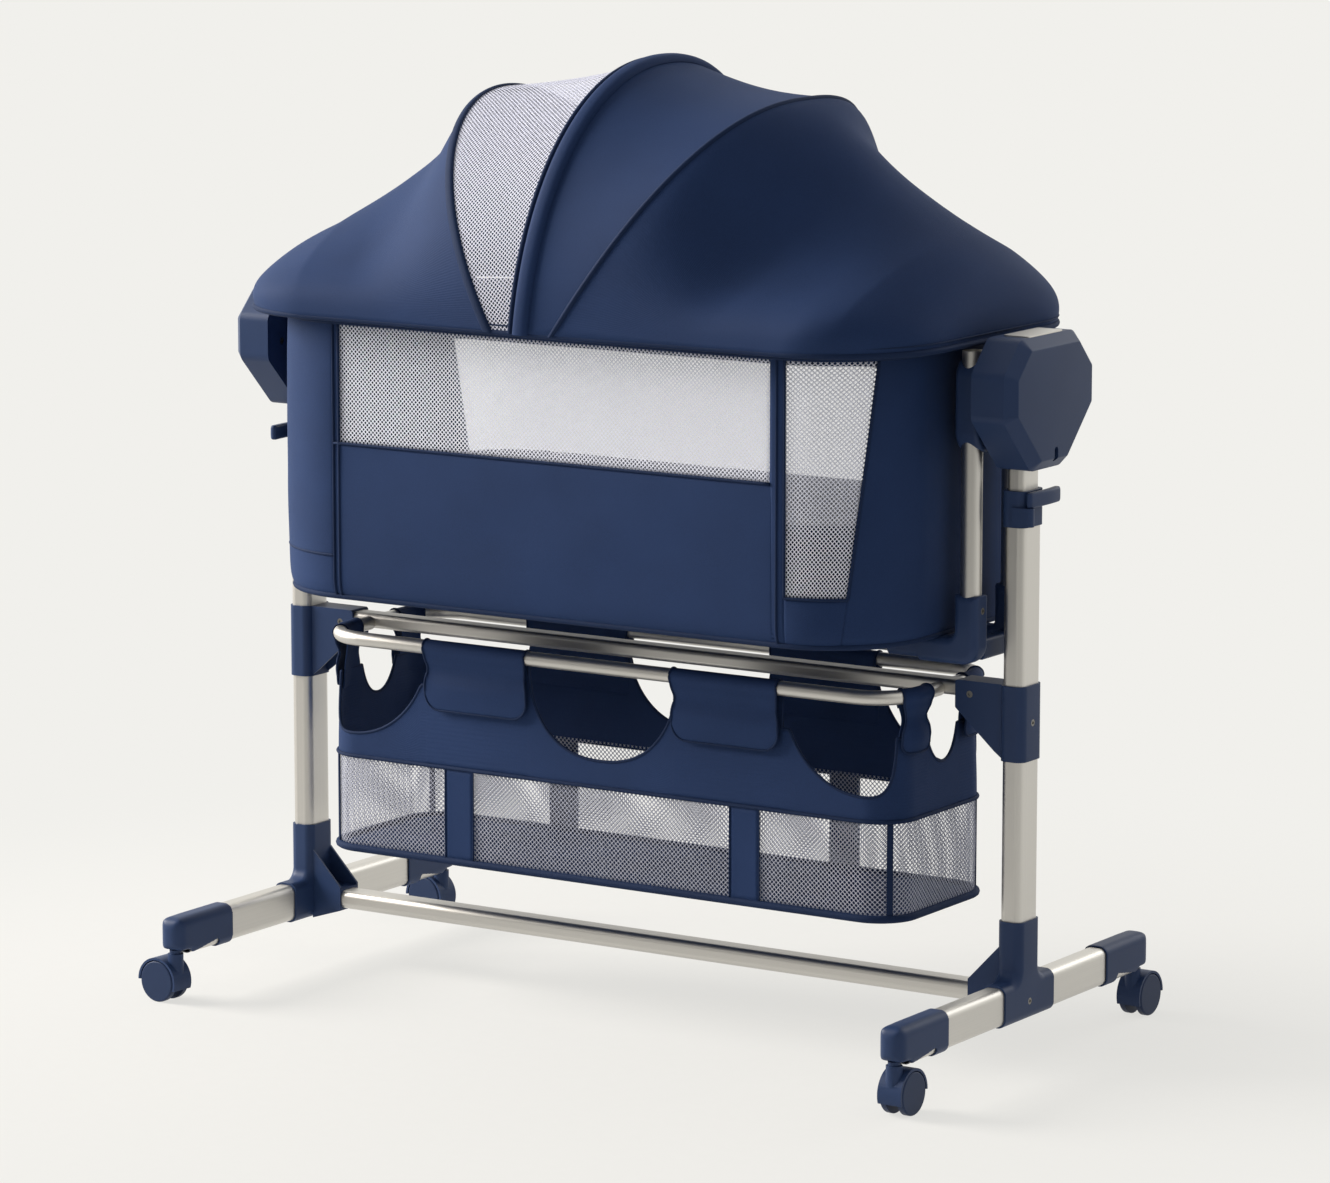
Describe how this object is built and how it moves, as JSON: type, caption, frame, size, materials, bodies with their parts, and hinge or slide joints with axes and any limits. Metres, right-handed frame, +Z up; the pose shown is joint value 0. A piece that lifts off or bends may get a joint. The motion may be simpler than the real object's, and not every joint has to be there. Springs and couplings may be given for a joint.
{
  "type": "bassinet on stand",
  "caption": "Rocking fabric bassinet with a domed canopy, hung between two height-adjustable posts on a wheeled stand with a storage basket.",
  "frame": {"origin": "on the floor, midway between the two posts and midway between front and rear caster stems", "axes": "+X along the cradle to its right-hand end, +Y to the rear, +Z up"},
  "size_m": [0.9795, 0.5567, 1.0185],
  "materials": {
    "silver_tube": "satin",
    "navy_plastic": "matte",
    "dark_plastic": "matte",
    "screw_steel": "satin",
    "navy_fabric": "matte",
    "white_mesh": "matte",
    "mattress_cloth": "matte",
    "board": "matte",
    "bow_steel": "satin"
  },
  "bodies": {
    "base": {"foot_tube_left": "silver_tube", "foot_tube_right": "silver_tube", "foot_caps_front": "navy_plastic", "foot_caps_rear": "navy_plastic", "base_joint_left": "navy_plastic", "base_joint_right": "navy_plastic", "crossbar": "silver_tube", "outer_post_left": "silver_tube", "outer_post_right": "silver_tube", "post_collar_left": "navy_plastic", "post_collar_right": "navy_plastic", "post_bushes": "dark_plastic", "mid_bracket_left": "navy_plastic", "mid_bracket_right": "navy_plastic", "mid_rail": "silver_tube", "basket_ring": "silver_tube", "basket_band": "navy_fabric", "basket_mesh": "white_mesh", "basket_floor": "navy_fabric", "base_screws": "screw_steel"},
    "upper_frame": {"inner_post_left": "silver_tube", "inner_post_right": "silver_tube", "hub_housing_left": "navy_plastic", "hub_housing_right": "navy_plastic", "hub_backs": "navy_plastic", "hub_top_plates": "silver_tube", "hub_bearings": "dark_plastic", "hub_screws": "screw_steel"},
    "cradle": {"pivot_shafts": "screw_steel", "pivot_bracket_left": "navy_plastic", "pivot_bracket_right": "navy_plastic", "hanger_tubes_left": "silver_tube", "hanger_tubes_right": "silver_tube", "hanger_elbows_left": "navy_plastic", "hanger_elbows_right": "navy_plastic", "bed_rails": "silver_tube", "elbow_links": "navy_plastic", "cradle_screws": "screw_steel", "rim_frame": "silver_tube", "bassinet_shell": "navy_fabric", "bassinet_mesh": "white_mesh", "mattress_board": "board", "mattress": "mattress_cloth"},
    "canopy": {"canopy_cover": "navy_fabric", "canopy_mesh": "white_mesh", "canopy_bow_left": "bow_steel", "canopy_bow_centre": "bow_steel", "canopy_bow_right": "bow_steel"},
    "height_lever_left": {"height_lever_left": "navy_plastic"},
    "height_lever_right": {"height_lever_right": "navy_plastic"},
    "caster_front_left": {"caster_hood_front_left": "navy_plastic"},
    "wheels_front_left": {"caster_wheels_front_left": "dark_plastic"},
    "caster_front_right": {"caster_hood_front_right": "navy_plastic"},
    "wheels_front_right": {"caster_wheels_front_right": "dark_plastic"},
    "caster_rear_left": {"caster_hood_rear_left": "navy_plastic"},
    "wheels_rear_left": {"caster_wheels_rear_left": "dark_plastic"},
    "caster_rear_right": {"caster_hood_rear_right": "navy_plastic"},
    "wheels_rear_right": {"caster_wheels_rear_right": "dark_plastic"}
  },
  "joints": [
    {"name": "height_adjust", "type": "slide", "parent": "base", "child": "upper_frame", "axis": [0, 0, 1], "range_m": [0, 0.15]},
    {"name": "rocking", "type": "hinge", "parent": "upper_frame", "child": "cradle", "pos_m": [0, 0, 0.7], "axis": [1, 0, 0], "range_deg": [-12, 12]},
    {"name": "canopy_lift_off", "type": "slide", "parent": "cradle", "child": "canopy", "axis": [0, 0, 1], "range_m": [0, 0.3]},
    {"name": "lever_left_turn", "type": "hinge", "parent": "base", "child": "height_lever_left", "pos_m": [-0.468, 0.0188, 0.594], "axis": [0, 0, -1], "range_deg": [0, 12], "stiffness_Nm_per_rad": 0.05},
    {"name": "lever_right_turn", "type": "hinge", "parent": "base", "child": "height_lever_right", "pos_m": [0.468, -0.0188, 0.594], "axis": [0, 0, -1], "range_deg": [0, 12], "stiffness_Nm_per_rad": 0.05},
    {"name": "swivel_front_left", "type": "hinge", "parent": "base", "child": "caster_front_left", "pos_m": [-0.45, -0.25, 0.05], "axis": [0, 0, 1], "continuous": true},
    {"name": "roll_front_left", "type": "hinge", "parent": "caster_front_left", "child": "wheels_front_left", "pos_m": [-0.46596, -0.24888, 0.0225], "axis": [-0.0698, -0.9976, 0], "continuous": true},
    {"name": "swivel_front_right", "type": "hinge", "parent": "base", "child": "caster_front_right", "pos_m": [0.45, -0.25, 0.05], "axis": [0, 0, 1], "continuous": true},
    {"name": "roll_front_right", "type": "hinge", "parent": "caster_front_right", "child": "wheels_front_right", "pos_m": [0.45028, -0.234, 0.0225], "axis": [-0.9998, 0.0175, 0], "continuous": true},
    {"name": "swivel_rear_left", "type": "hinge", "parent": "base", "child": "caster_rear_left", "pos_m": [-0.45, 0.25, 0.05], "axis": [0, 0, 1], "continuous": true},
    {"name": "roll_rear_left", "type": "hinge", "parent": "caster_rear_left", "child": "wheels_rear_left", "pos_m": [-0.46596, 0.25112, 0.0225], "axis": [-0.0698, -0.9976, 0], "continuous": true},
    {"name": "swivel_rear_right", "type": "hinge", "parent": "base", "child": "caster_rear_right", "pos_m": [0.45, 0.25, 0.05], "axis": [0, 0, 1], "continuous": true},
    {"name": "roll_rear_right", "type": "hinge", "parent": "caster_rear_right", "child": "wheels_rear_right", "pos_m": [0.45028, 0.266, 0.0225], "axis": [-0.9998, 0.0175, 0], "continuous": true}
  ]
}
